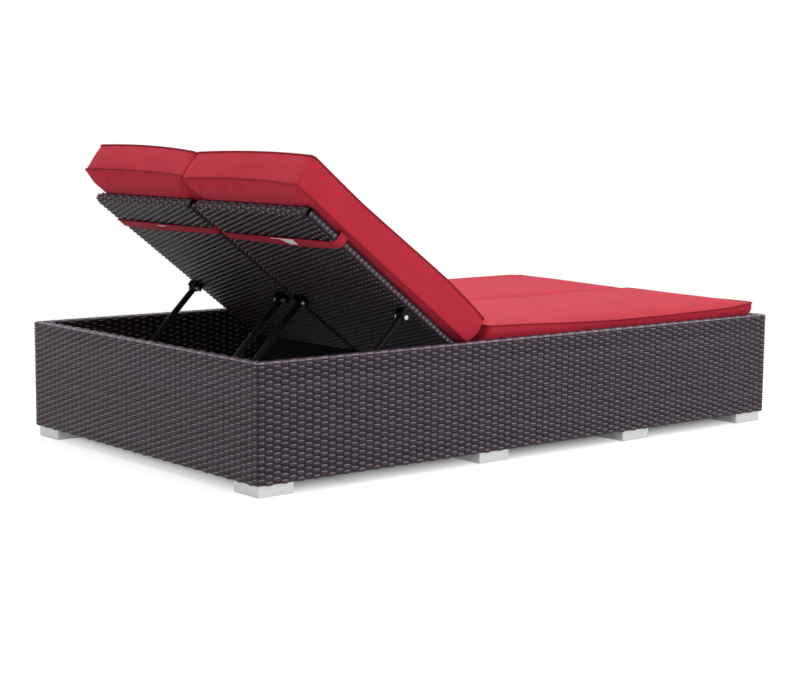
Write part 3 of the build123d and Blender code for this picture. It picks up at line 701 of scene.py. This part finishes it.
# Rise of a back cushion's seams, in mm: at its head end, at the middle of the object, halfway and
# outside, and along its sides from the head end
HEAD_LOW = {"left": (3, 17, 11), "right": (-6, 5, -8)}
HEAD_HIGH = {"left": (2, 22, 18), "right": (1, 12, 1)}
LOW_SIDE = ([0, 0.1, 0.2, 0.275, 0.37, 0.5, 0.8, 1], [0, -1, -3, -4, -5, -5, -5, -4])
HIGH_SIDE = ([0, 0.12, 0.27, 0.5, 0.65, 0.77, 0.9, 1], [0, -1.2, -2, 4, 8, 10, 6, 0])
# A back cushion's lower end hangs forward at its top edge, and bulges between its seams
BACK_HANG, BACK_BULGE, BACK_LOW, BACK_RISE = 0.009, 0.007, 0.020, 0.082

# Below this height a cushion lies between the walls. Its x stays between these limits there.
ROOM_HEIGHT, MIDDLE_X, WALL_X = 0.062, 0.0003, 0.5456
# How far pressure may move a cover: at its inner side, between the walls, above them, more by the
# crown, and down
X_ROOM, Y_ROOM = (0.0007, 0.0011, 0.003), (0.0009, 0.002)
CROWN_ROOM, CROWN_SPAN, DOWN_ROOM = 0.002, 0.006, 0.0015
SWELL_FRAMES = 20
COVER_CLOTH = {
    "quality": 6, "mass": 0.3, "tension_stiffness": 18, "compression_stiffness": 18,
    "shear_stiffness": 8, "bending_stiffness": 0.6, "use_pressure": True,
    "uniform_pressure_force": 4, "shrink_min": -0.012, "vertex_group_mass": "held",
}

# Gathers beside the seams: length, depth, reach from a seam, and the part next to it that is flat
PUCKER_LENGTH, PUCKER_DEPTH, PUCKER_REACH, SEAM_FLAT = 0.034, 0.0011, 0.016, 0.003
PUCKER_RISE, BOX_EDGE, BROAD_PACE, BROAD_FROM = 0.12, 0.008, 6, 0.03


def spread(span):
    """Grid lines over a span, with two narrow cells at each end for the round corner."""
    half, cell = span / 2, CUSHION_CORNER / 2
    inner = half - CUSHION_CORNER
    middle = np.linspace(-inner, inner, round(2 * inner / GRID_STEP) + 1)
    return np.concatenate([[-half, -half + cell], middle, [half - cell, half]])


def round_plan(u, v, width, length):
    """A square grid's points moved into a plan with round corners and sides that pull in."""
    inner_u, inner_v = width / 2 - CUSHION_CORNER, length / 2 - CUSHION_CORNER
    a, b = clip((np.abs(u) - inner_u) / CUSHION_CORNER), clip((np.abs(v) - inner_v) / CUSHION_CORNER)
    corner = (a > 0) & (b > 0)
    x = np.where(corner, np.sign(u) * (inner_u + CUSHION_CORNER * a * np.sqrt(1 - b * b / 2)), u)
    y = np.where(corner, np.sign(v) * (inner_v + CUSHION_CORNER * b * np.sqrt(1 - a * a / 2)), v)
    x_pull = 1 - np.where(x < 0, INNER_PULL, CUSHION_PULL) / (width / 2) * (1 - (2 * v / length) ** 2)
    y_pull = 1 - CUSHION_PULL / (length / 2) * (1 - (2 * u / width) ** 2)
    return x * x_pull, y * y_pull


def ring_of(rows, columns):
    """Grid indices of the outer ring, in order."""
    index = np.arange(rows * columns).reshape(rows, columns)
    return np.concatenate([index[0, :-1], index[:-1, -1], index[-1, :0:-1], index[:0:-1, 0]])


def edge_roll(edge):
    return 1 - (1 - clip(edge / EDGE_ROLL)) ** ROLL_POWER


def cushion_shell(shape, low_seam, high_seam):
    """A box cushion as one closed mesh: bottom, boxing and crowned top, with its two seam rings.
    low_seam and high_seam give each seam's rise over its plain height at a place of the plan."""
    width, length = CUSHION_WIDTH, shape.length
    us, vs = spread(width), spread(length)
    v, u = (g.ravel() for g in np.meshgrid(vs, us, indexing="ij"))
    x, y = round_plan(u, v, width, length)
    edge_u, edge_v = width / 2 - np.abs(u), length / 2 - np.abs(v)
    dome = (1 - (2 * u / width) ** 2) * (1 - (2 * v / length) ** 2)
    rise = shape.crown * (ROLL_SHARE * edge_roll(edge_u) * edge_roll(edge_v) + DOME_SHARE * dome)
    top = np.stack([x, y, shape.high + high_seam(u, v) + rise], -1)
    near = np.minimum(edge_u, edge_v)
    lift = (1 - clip(near / shape.under)) ** 2
    bottom = np.stack([x, y, (shape.low + low_seam(u, v)) * lift], -1)
    rows, columns = len(vs), len(us)
    ring = ring_of(rows, columns)
    size = rows * columns
    faces = grid_faces(rows, columns, flip=True) + grid_faces(rows, columns, size)
    low_ring, high_ring = bottom[ring], top[ring]
    along = np.roll(high_ring, -1, 0) - np.roll(high_ring, 1, 0)
    outward = unit(np.stack([along[:, 1], -along[:, 0], np.zeros(len(ring))], -1))
    points = [bottom, top]
    rings = [ring]
    for row in range(1, BOX_ROWS):
        t = row / BOX_ROWS
        bulge = outward * BOX_BULGE * math.sin(math.pi * t)
        points.append(low_ring * (1 - t) + high_ring * t + bulge)
        rings.append(2 * size + (row - 1) * len(ring) + np.arange(len(ring)))
    rings.append(ring + size)
    for lower, upper in zip(rings, rings[1:]):
        quads = np.stack([lower, np.roll(lower, -1), np.roll(upper, -1), upper], -1)
        faces += quads.tolist()
    flat = np.flatnonzero(near > shape.under * 0.9)
    return np.concatenate(points), faces, (ring, ring + size), flat


def seat_lean(points):
    """Above the rim a seat cushion reaches out over it, and its other end leans off the backrest."""
    across, along = 2 * points[:, 0] / CUSHION_WIDTH, 2 * points[:, 1] / SEAT_LENGTH
    above = clip((points[:, 2] - LEAN_FROM) / LEAN_SPAN)
    out = LEAN_SIDE * clip(across) ** 3 * above
    foot = LEAN_FOOT * clip(-along) ** 3 * above
    end = LEAN_HINGE * clip(along) ** 3 * clip(points[:, 2] / LEAN_FULL)
    return points + np.stack([out, -foot - end, 0 * out], -1)


def back_lean(points):
    """The lower end of a back cushion bulges, and its top edge hangs forward."""
    low_end = clip(-2 * points[:, 1] / BACK_LENGTH) ** 4
    t = clip((points[:, 2] - BACK_LOW) / BACK_RISE)
    forward = low_end * (BACK_HANG * t + BACK_BULGE * np.sin(math.pi * t))
    return points - np.stack([0 * t, forward, 0 * t], -1)


def seat_seam(side):
    """Rise of a seat cushion's top seam, from its outer side and its foot end."""
    def rise(u, v):
        across, along = 2 * u / CUSHION_WIDTH, 2 * v / SEAT_LENGTH
        edge = np.interp(along, *SEAT_SIDE[side])
        foot = np.interp(across, *SEAT_FOOT[side]) * clip(-along) ** 2
        return MM * (edge * clip(across) ** 2.2 + foot)
    return rise


def back_seam(head, side, power):
    """A seam's rise: a curve across the head end that fades away from it, and one along the sides."""
    inner, middle, outer = head

    def rise(u, v):
        t, across = 0.5 - v / BACK_LENGTH, 2 * u / CUSHION_WIDTH
        curve = middle + (outer - inner) / 2 * across + ((outer + inner) / 2 - middle) * across**2
        return MM * (curve * clip(1 - t) ** 3 + np.interp(t, *side) * np.abs(across) ** power)
    return rise


def seat_place(way):
    centre = np.array([CUSHION_MID_X, (SEAT_START + SEAT_END) / 2, DECK_HEIGHT + LYING_GAP])
    return lambda points: (points + centre) * (way, 1, 1)


def back_place(way):
    def place(points):
        x = points[:, 0] + CUSHION_MID_X
        along = points[:, 1] + BACK_START + BACK_LENGTH / 2
        return back_point(x, along, points[:, 2] + BACK_RADIUS + LYING_GAP) * (way, 1, 1)
    return place


def evaluated(piece):
    return piece.evaluated_get(bpy.context.evaluated_depsgraph_get())


def inflate(points, faces, pinned):
    """Where pressure moves the points of a cover whose seams and lying side are held."""
    mesh = new_mesh("cover", points, faces)
    cover = new_object("cover", mesh)
    cover.vertex_groups.new(name="held").add(pinned.tolist(), 1.0, "REPLACE")
    cloth = cover.modifiers.new("cloth", "CLOTH")
    for key, value in COVER_CLOTH.items():
        setattr(cloth.settings, key, value)
    cloth.settings.effector_weights.gravity = 0
    cloth.collision_settings.use_collision = False
    cloth.point_cache.frame_start, cloth.point_cache.frame_end = 1, SWELL_FRAMES
    for moment in range(1, SWELL_FRAMES + 1):
        scene.frame_set(moment)
    moved = get_values(evaluated(cover).to_mesh().vertices, "co")
    scene.frame_set(1)
    cover.modifiers.clear()
    bpy.data.objects.remove(cover)
    bpy.data.meshes.remove(mesh)
    return moved


def keep_clear(points):
    """A cushion's points held off the other cushion, and off the wall below the rim."""
    wall = np.where(points[:, 2] < ROOM_HEIGHT, WALL_X, 1) - CUSHION_MID_X
    x = np.clip(points[:, 0], MIDDLE_X - CUSHION_MID_X, wall)
    return np.column_stack([x, points[:, 1:]])


def soft_cap(amount, most):
    return most * np.tanh(amount / most)


def swell(points, faces, rings, flat, high, puff):
    """The cover blown up a little: over its top, and outwards as far as its place allows."""
    pinned = np.unique(np.concatenate([*rings, flat]))
    moved = inflate(points, faces, pinned) - points
    size = rings[1][0] - rings[0][0]
    top = np.arange(len(points)) // size == 1
    up = soft_cap(moved[:, 2], np.where(top, puff, DOWN_ROOM))
    walled = points[:, 2] < ROOM_HEIGHT
    x_room = np.where(points[:, 0] < 0, X_ROOM[0], np.where(walled, *X_ROOM[1:]))
    over = clip((points[:, 2] - high) / CROWN_SPAN) * CROWN_ROOM
    x = soft_cap(moved[:, 0], x_room + over)
    y = soft_cap(moved[:, 1], np.where(walled, *Y_ROOM) + over)
    return points + np.stack([x, y, up], -1)


def pucker(points, normals, length, low, high, seed):
    """Small gathers beside the seams, and a broad unevenness over the cover."""
    edge = np.minimum(CUSHION_WIDTH / 2 - np.abs(points[:, 0]), length / 2 - np.abs(points[:, 1]))
    beside = np.minimum(np.abs(points[:, 2] - low), np.abs(points[:, 2] - high))
    away = np.where(edge > BOX_EDGE, edge, beside)
    run = (points[:, 0] + points[:, 1]) / PUCKER_LENGTH
    height = points[:, 2] / PUCKER_RISE
    gathers = np.array([noise.noise((a, b, seed)) for a, b in zip(run, height)])
    broad = np.array([noise.noise(spot) for spot in points * BROAD_PACE + (0, 0, seed)])
    depth = PUCKER_DEPTH * gathers * np.exp(-away / PUCKER_REACH) * clip(away / SEAM_FLAT)
    depth += PUCKER_DEPTH * broad * clip(away / BROAD_FROM) * (points[:, 2] > low)
    return points + normals * depth[:, None]


def smooth_ring(points):
    """One step of the curve that a creased loop becomes when its mesh is subdivided."""
    before, after = np.roll(points, 1, 0), np.roll(points, -1, 0)
    corner = (before + 6 * points + after) / 8
    middle = (points + after) / 2
    return np.stack([corner, middle], 1).reshape(-1, 3)


def piping(name, rings, place):
    """Covered cord sewn into each seam."""
    soup = Soup()
    angles = np.arange(PIPING_CORNERS) * math.tau / PIPING_CORNERS
    cos, sin = np.cos(angles)[None, :, None], np.sin(angles)[None, :, None]
    for ring in rings:
        ring = smooth_ring(smooth_ring(ring))
        along = unit(np.roll(ring, -1, 0) - np.roll(ring, 1, 0))
        out = unit(np.cross(along, (0, 0, 1.0)))
        up = np.cross(out, along)
        tube = (ring + out * PIPING_RADIUS * PIPING_OUT)[:, None, :]
        tube = tube + PIPING_RADIUS * (cos * out[:, None, :] + sin * up[:, None, :])
        faces = tube_faces(len(ring), PIPING_CORNERS, True)
        soup.add(place(keep_clear(tube.reshape(-1, 3))), faces)
    return soup.build(name, shaded_piping_cloth)


def make_cushion(kind, side, way, seams, lean, place, body, seed):
    """One cushion and its piping. seams are the rises of its lower and upper seam."""
    shape, (low_seam, high_seam) = CUSHIONS[kind], seams
    points, faces, rings, flat = cushion_shell(shape, low_seam, high_seam)
    points = lean(points)
    points = swell(points, faces, rings, flat, shape.high, shape.puff)
    mesh = new_mesh("cover", points, faces)
    piece = new_object(f"padding_{kind}_{side}", mesh)
    on_seam = np.zeros(len(points), bool)
    on_seam[np.concatenate(rings)] = True
    creased = on_seam[edge_ends(mesh)].all(1).astype(np.float32)
    put_values(mesh, "crease_edge", "FLOAT", "EDGE", creased)
    smooth = piece.modifiers.new("smooth", "SUBSURF")
    smooth.levels = smooth.render_levels = 1
    fine = bpy.data.meshes.new_from_object(evaluated(piece))
    piece.modifiers.clear()
    spots, normals = get_values(fine.vertices, "co"), get_values(fine.vertex_normals, "vector")
    x, y = spots[:, 0], spots[:, 1]
    low, high = shape.low + low_seam(x, y), shape.high + high_seam(x, y)
    spots = keep_clear(pucker(spots, normals, shape.length, low, high, seed))
    fine.vertices.foreach_set("co", place(spots).ravel())
    if way < 0:
        fine.flip_normals()
    fine.shade_smooth()
    fine.materials.append(cushion_cloth)
    piece.data = fine
    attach(piece, body)
    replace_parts(piece, f"{kind}_cushion_{side}")
    cords = piping(f"piping_{kind}_{side}", [points[ring] for ring in rings], place)
    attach(cords, body)


for side, way in SIDES:
    seams = (lambda u, v: 0 * u), seat_seam(side)
    make_cushion("seat", side, way, seams, seat_lean, seat_place(way), "base", 3.7 + way)
    seams = back_seam(HEAD_LOW[side], LOW_SIDE, 4), back_seam(HEAD_HIGH[side], HIGH_SIDE, 2)
    make_cushion("back", side, way, seams, back_lean, back_place(way), f"cushion_{side}", 9.1 + way)


# Straps under the back cushions, each with a bare tag

STRAP_ALONG, STRAP_WIDTH, STRAP_THICK = 0.605, 0.036, 0.0016
STRAP_SAG, STRAP_BOW, STRAP_WAVE = 0.004, 0.003, 0.0005
STRAP_CLEAR, STRAP_TOP = 0.0013, 0.0195
STRAP_LANES, TAG_LANES = 9, 6
STRAP_POINTS, BEND_POINTS, TAG_POINTS = 48, 9, 22
# A strap's width along it, as a share: it is gathered at its ends
STRAP_GATHER = ([0, 0.12, 0.55, 0.8, 1], [0.68, 0.72, 0.92, 0.92, 0.76])
# A strap's shift up the slope, its tag's length and place across, and the tag's upper edge
STRAP_SHIFT = {"left": 0.014, "right": -0.002}
TAGS = {"left": (0.045, 0.51), "right": (0.100, 0.567)}
TAG_TOP = {"left": 0.010, "right": 0.014}
TAG_THICK, TAG_GAP = 0.0007, 0.0006
# The near tag is folded along part of its length, and of the far one only a sliver shows
TAG_FOLDED, TAG_OPEN, FOLD_END, FOLD_SPAN = 0.0025, 0.0225, 0.4, 0.3
SLIVER, SLIVER_BULGE = 0.0016, 0.003


def strap_line(count):
    """The middle line of a strap across the panel's underside: x and up, end to end."""
    radius = BACK_RADIUS + STRAP_CLEAR
    inner, outer = BACK_IN_X + BACK_RADIUS, BACK_OUT_X - BACK_RADIUS
    turn = np.linspace(0, math.pi / 2, BEND_POINTS)
    span = np.linspace(0, 1, count)[1:-1]
    bend_x, bend_up = radius * np.cos(turn), -radius * np.sin(turn)
    flat, sag = inner + (outer - inner) * span, -radius - STRAP_SAG * np.sin(math.pi * span) ** 0.8
    x = [[inner - radius] * 2, inner - bend_x, flat, outer + bend_x[::-1], [outer + radius] * 2]
    up = [[STRAP_TOP, STRAP_TOP / 2], bend_up, sag, bend_up[::-1], [STRAP_TOP / 2, STRAP_TOP]]
    return np.concatenate(x), np.concatenate(up)


def band(name, x, up, along, thick, material, way):
    """A strip of cloth as a closed shell. x and up hold its line, and along a row of places for
    each point of the line. A wide one has thicker hems."""
    travel = unit(np.stack([np.gradient(x), np.gradient(up)], -1))
    rows, columns = along.shape
    hem = np.ones(columns)
    if columns > TAG_LANES:
        hem[[0, -1]] = 1.5
    layers = []
    for sign in (-0.5, 0.5):
        shift = sign * thick * hem[None, :]
        px = x[:, None] + travel[:, None, 1] * shift
        pu = up[:, None] - travel[:, None, 0] * shift
        layers.append(back_point(px.ravel(), along.ravel(), pu.ravel()) * (way, 1, 1))
    size = rows * columns
    faces = grid_faces(rows, columns) + grid_faces(rows, columns, size, True)
    ring = ring_of(rows, columns)
    faces += np.stack([np.roll(ring, -1), ring, ring + size, np.roll(ring, -1) + size], -1).tolist()
    if way < 0:
        faces = [face[::-1] for face in faces]
    soup = Soup()
    soup.add(np.concatenate(layers), faces)
    return soup.build(name, material)


for side, way in SIDES:
    x, level = strap_line(STRAP_POINTS)
    line = np.sum(np.hypot(np.diff(x), np.diff(level)))
    up = level - np.abs(np.sin(x * 19 + way) * STRAP_WAVE * clip(-level / BACK_RADIUS))
    reach = (x - x[0]) / (x[-1] - x[0])
    bow = STRAP_BOW * np.sin(reach * math.pi) + STRAP_SHIFT[side]
    width = STRAP_WIDTH * np.interp(reach, *STRAP_GATHER)
    lanes = np.linspace(-0.5, 0.5, STRAP_LANES)
    along = STRAP_ALONG + bow[:, None] + lanes[None, :] * width[:, None]
    strap = band(f"strap_{side}", x, up, along, STRAP_THICK, strap_cloth, way)
    tag_length, tag_share = TAGS[side]
    middle = BACK_IN_X + tag_share * (BACK_OUT_X - BACK_IN_X)
    tag_x = np.linspace(middle - tag_length / 2, middle + tag_length / 2, TAG_POINTS)
    share = (tag_x - tag_x[0]) / tag_length
    flat = slice(BEND_POINTS + 2, -BEND_POINTS - 2)
    tag_up = np.interp(tag_x, x[flat], up[flat]) - STRAP_THICK / 2 - TAG_GAP
    top = STRAP_ALONG + np.interp(tag_x, x, bow) + TAG_TOP[side]
    if way < 0:
        bottom = top - TAG_FOLDED - TAG_OPEN * clip((share - FOLD_END) / FOLD_SPAN)
    else:
        bottom = top - SLIVER - SLIVER_BULGE * np.sin(math.pi * share)
    tag_along = bottom[:, None] + np.linspace(0, 1, TAG_LANES)[None, :] * (top - bottom)[:, None]
    tag = band(f"tag_{side}", tag_x, tag_up, tag_along, TAG_THICK, label_cloth, way)
    pieces = (strap, "cushion_strap", "cushion_fabric"), (tag, "strap_label", "label_cloth")
    for piece, node_name, slot in pieces:
        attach(piece, f"cushion_{side}")
        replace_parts(piece, f"{node_name}_{side}")


# Camera, from the lines of the base in the photograph

FOCAL_PIXELS, PHOTO_PIXELS, SENSOR = 1727.106, 800, 36.0
CAMERA_PLACE, CAMERA_TURN = (-4.07838, 3.45863, 0.92866), (-39.8723, -7.0814, 0.51147)

camera_data = bpy.data.cameras.new("camera")
camera_data.sensor_width = SENSOR
camera_data.lens = FOCAL_PIXELS * SENSOR / PHOTO_PIXELS
camera = new_object("camera", camera_data)
scene.camera = camera
yaw, pitch, roll = (math.radians(a) for a in CAMERA_TURN)
ahead = Vector((math.cos(pitch) * math.cos(yaw), math.cos(pitch) * math.sin(yaw), math.sin(pitch)))
right = Vector((math.sin(yaw), -math.cos(yaw), 0))
above = right.cross(ahead)
right, above = (
    right * math.cos(roll) + above * math.sin(roll), above * math.cos(roll) - right * math.sin(roll),
)
turn = Matrix((right, above, -ahead)).transposed().to_4x4()
camera.matrix_world = Matrix.Translation(CAMERA_PLACE) @ turn


# Floor and light

LAMPS = (
    ("top", (0.2, -0.2, 4.2), (0, 0, 0.3), 3.0, 116),
    ("back", (2.8, -2.9, 3.5), (0, 0, 0.3), 1.6, 26),
    ("head", (-2.5, 4.0, 2.8), (0, 0.3, 0.3), 2.6, 34),
    ("side", (-3.3, -3.0, 3.6), (0, -0.1, 0.3), 1.4, 58),
    ("low_side", (-5.0, 0.7, 1.7), (0, 0, 0.3), 2.6, 57),
    ("far", (3.7, 3.1, 3.3), (0, 0.2, 0.3), 1.4, 27),
)
WORLD_LIGHT = 0.34
FLOOR_HALF, FLOOR_GLOW = 14, 0.72
SHADOW_SPAN, SHADE_INSET, SHADE_GLOW = (1.3, 2.6), 0.12, 0.2

scene.view_settings.view_transform = "Standard"
for name, place, target, size, power in LAMPS:
    data = bpy.data.lights.new(name, "AREA")
    data.size, data.energy = size, power
    lamp = new_object(name, data)
    lamp.location = place
    lamp.rotation_euler = (Vector(target) - Vector(place)).to_track_quat("-Z", "Y").to_euler()


def seen_directly(tree):
    """1 where the camera, a mirror or glass looks at a surface, and 0 for the light on the object."""
    path = node("LightPath", tree=tree).outputs
    both = math_node("MAXIMUM", path["Is Camera Ray"], path["Is Glossy Ray"])
    return math_node("MAXIMUM", both, path["Is Transmission Ray"])


def backdrop_material():
    """A floor that looks white, with a soft shadow round the object and a dark one under it."""
    material, tree, body = shader("floor")
    finish(body, Base_Color=(0.86, 0.86, 0.86, 1), Roughness=0.9)
    place = object_place(tree)
    reach = node("VectorMath", {0: place}, operation="LENGTH").outputs["Value"]
    far = fit(reach, SHADOW_SPAN)
    spot = node("SeparateXYZ", {"Vector": place}).outputs
    past = [
        math_node("SUBTRACT", math_node("ABSOLUTE", spot[axis]), half)
        for axis, half in (("X", HALF_WIDTH), ("Y", HALF_LENGTH))
    ]
    # Painted shadow: the floor glows less inside the object's footprint
    under = fit(math_node("MAXIMUM", *past), (-SHADE_INSET, 0), (SHADE_GLOW, 1))
    glow = times(fit(far, to=(FLOOR_GLOW, 1)), under)
    white = node("Emission", {"Strength": glow}).outputs[0]
    matt = node("BsdfDiffuse", {"Color": fit(far, to=(0.5, 0))}).outputs[0]
    shown = node("AddShader", {0: white, 1: matt}).outputs[0]
    inputs = {"Fac": seen_directly(tree), 1: body.outputs[0], 2: shown}
    mixed = node("MixShader", inputs).outputs[0]
    tree.links.new(mixed, tree.nodes["Material Output"].inputs["Surface"])
    return material


corners = FLOOR_HALF * np.array([(-1, -1, 0), (1, -1, 0), (1, 1, 0), (-1, 1, 0)])
floor_mesh = new_mesh("floor", corners, [(0, 1, 2, 3)])
floor_mesh.materials.append(backdrop_material())
floor = new_object("floor", floor_mesh)

world = bpy.data.worlds.new("world")
scene.world = world
world.use_nodes = True
background = world.node_tree.nodes["Background"]
background.inputs["Color"].default_value = (1, 1, 1, 1)
level = fit(seen_directly(world.node_tree), to=(WORLD_LIGHT, 1))
world.node_tree.links.new(level, background.inputs["Strength"])
